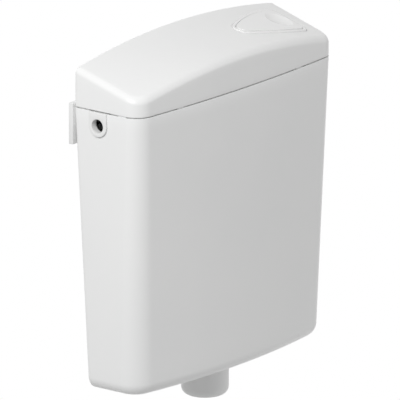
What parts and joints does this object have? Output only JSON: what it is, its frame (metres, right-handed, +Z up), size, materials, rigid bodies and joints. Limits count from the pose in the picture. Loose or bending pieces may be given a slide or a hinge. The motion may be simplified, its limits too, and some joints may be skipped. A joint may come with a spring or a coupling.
{
  "type": "toilet cistern",
  "caption": "Wall hung low level toilet cistern: drafted plastic tank with a bowed front, crowned lift-off lid, hinged flush button, lever, flush valve, float inlet valve and wall rail.",
  "frame": {"origin": "middle of the two wall screw holes, on the wall plane at the back of the wall rail", "axes": "+Z up, +Y into the wall, +X to the right for someone facing the cistern"},
  "size_m": [0.4323, 0.1207, 0.4813],
  "materials": {
    "white_shell": "glossy white moulded plastic",
    "white_trim": "polished white moulded plastic",
    "white_moulding": "satin white moulded plastic",
    "valve_plastic": "natural grey-white moulded plastic",
    "float_plastic": "blue-grey moulded plastic",
    "seal_rubber": "black seal rubber",
    "steel": "drawn stainless steel"
  },
  "bodies": {
    "cistern": {"tank": "white_shell", "wall_rail": "white_moulding", "hanger_studs": "steel", "inlet_insert_left": "white_moulding", "inlet_insert_right": "white_moulding", "lever_bridge": "valve_plastic", "bridge_screws": "steel", "lever_pin": "steel", "valve_seat": "valve_plastic", "seat_gasket": "seal_rubber", "valve_cage": "valve_plastic", "cage_cap": "valve_plastic", "nut_washer": "white_moulding", "outlet_nut": "white_moulding", "pipe_seal": "seal_rubber", "fill_valve_body": "valve_plastic", "valve_cap": "float_plastic", "diaphragm": "seal_rubber", "shank_seal": "seal_rubber", "shank_nut": "white_moulding", "inlet_filter": "float_plastic", "float_lever_pin": "steel", "fill_tube": "valve_plastic"},
    "cover": {"lid": "white_shell", "button_bezel": "white_trim", "button_pin": "steel"},
    "button": {"flush_button": "white_trim"},
    "lever": {"rocker_lever": "valve_plastic"},
    "flush_valve": {"lift_head": "valve_plastic", "lift_tube": "valve_plastic", "tube_float": "float_plastic", "valve_seal": "seal_rubber"},
    "inlet_float": {"float_rod": "steel", "fill_float": "float_plastic"},
    "inlet_lever": {"float_lever": "valve_plastic"}
  },
  "joints": [
    {"name": "lid_lift", "type": "slide", "parent": "cistern", "child": "cover", "axis": [0, 0, 1], "range_m": [0, 0.15]},
    {"name": "button_press", "type": "hinge", "parent": "cover", "child": "button", "pos_m": [0.074, -0.0617, 0.06956], "axis": [0, 1, 0], "range_deg": [0, 6.5]},
    {"name": "lever_rock", "type": "hinge", "parent": "cistern", "child": "lever", "pos_m": [0.088, -0.0587, 0.0355], "axis": [0, 1, 0], "range_deg": [0, 8.45]},
    {"name": "valve_lift", "type": "slide", "parent": "cistern", "child": "flush_valve", "axis": [0, 0, 1], "range_m": [0, 0.0138]},
    {"name": "float_drop", "type": "slide", "parent": "cistern", "child": "inlet_float", "axis": [0, 0, -1], "range_m": [0, 0.016]},
    {"name": "float_lever_tilt", "type": "hinge", "parent": "cistern", "child": "inlet_lever", "pos_m": [0.146, -0.0467, -0.0105], "axis": [0, -1, 0], "range_deg": [0, 21.2]}
  ],
  "couplings": [
    {"joint": "lever_rock", "follows": "button_press", "ratio": 1.2923},
    {"joint": "valve_lift", "follows": "button_press", "m_per_rad": 0.1212},
    {"joint": "float_lever_tilt", "follows": "float_drop", "rad_per_m": 23}
  ]
}
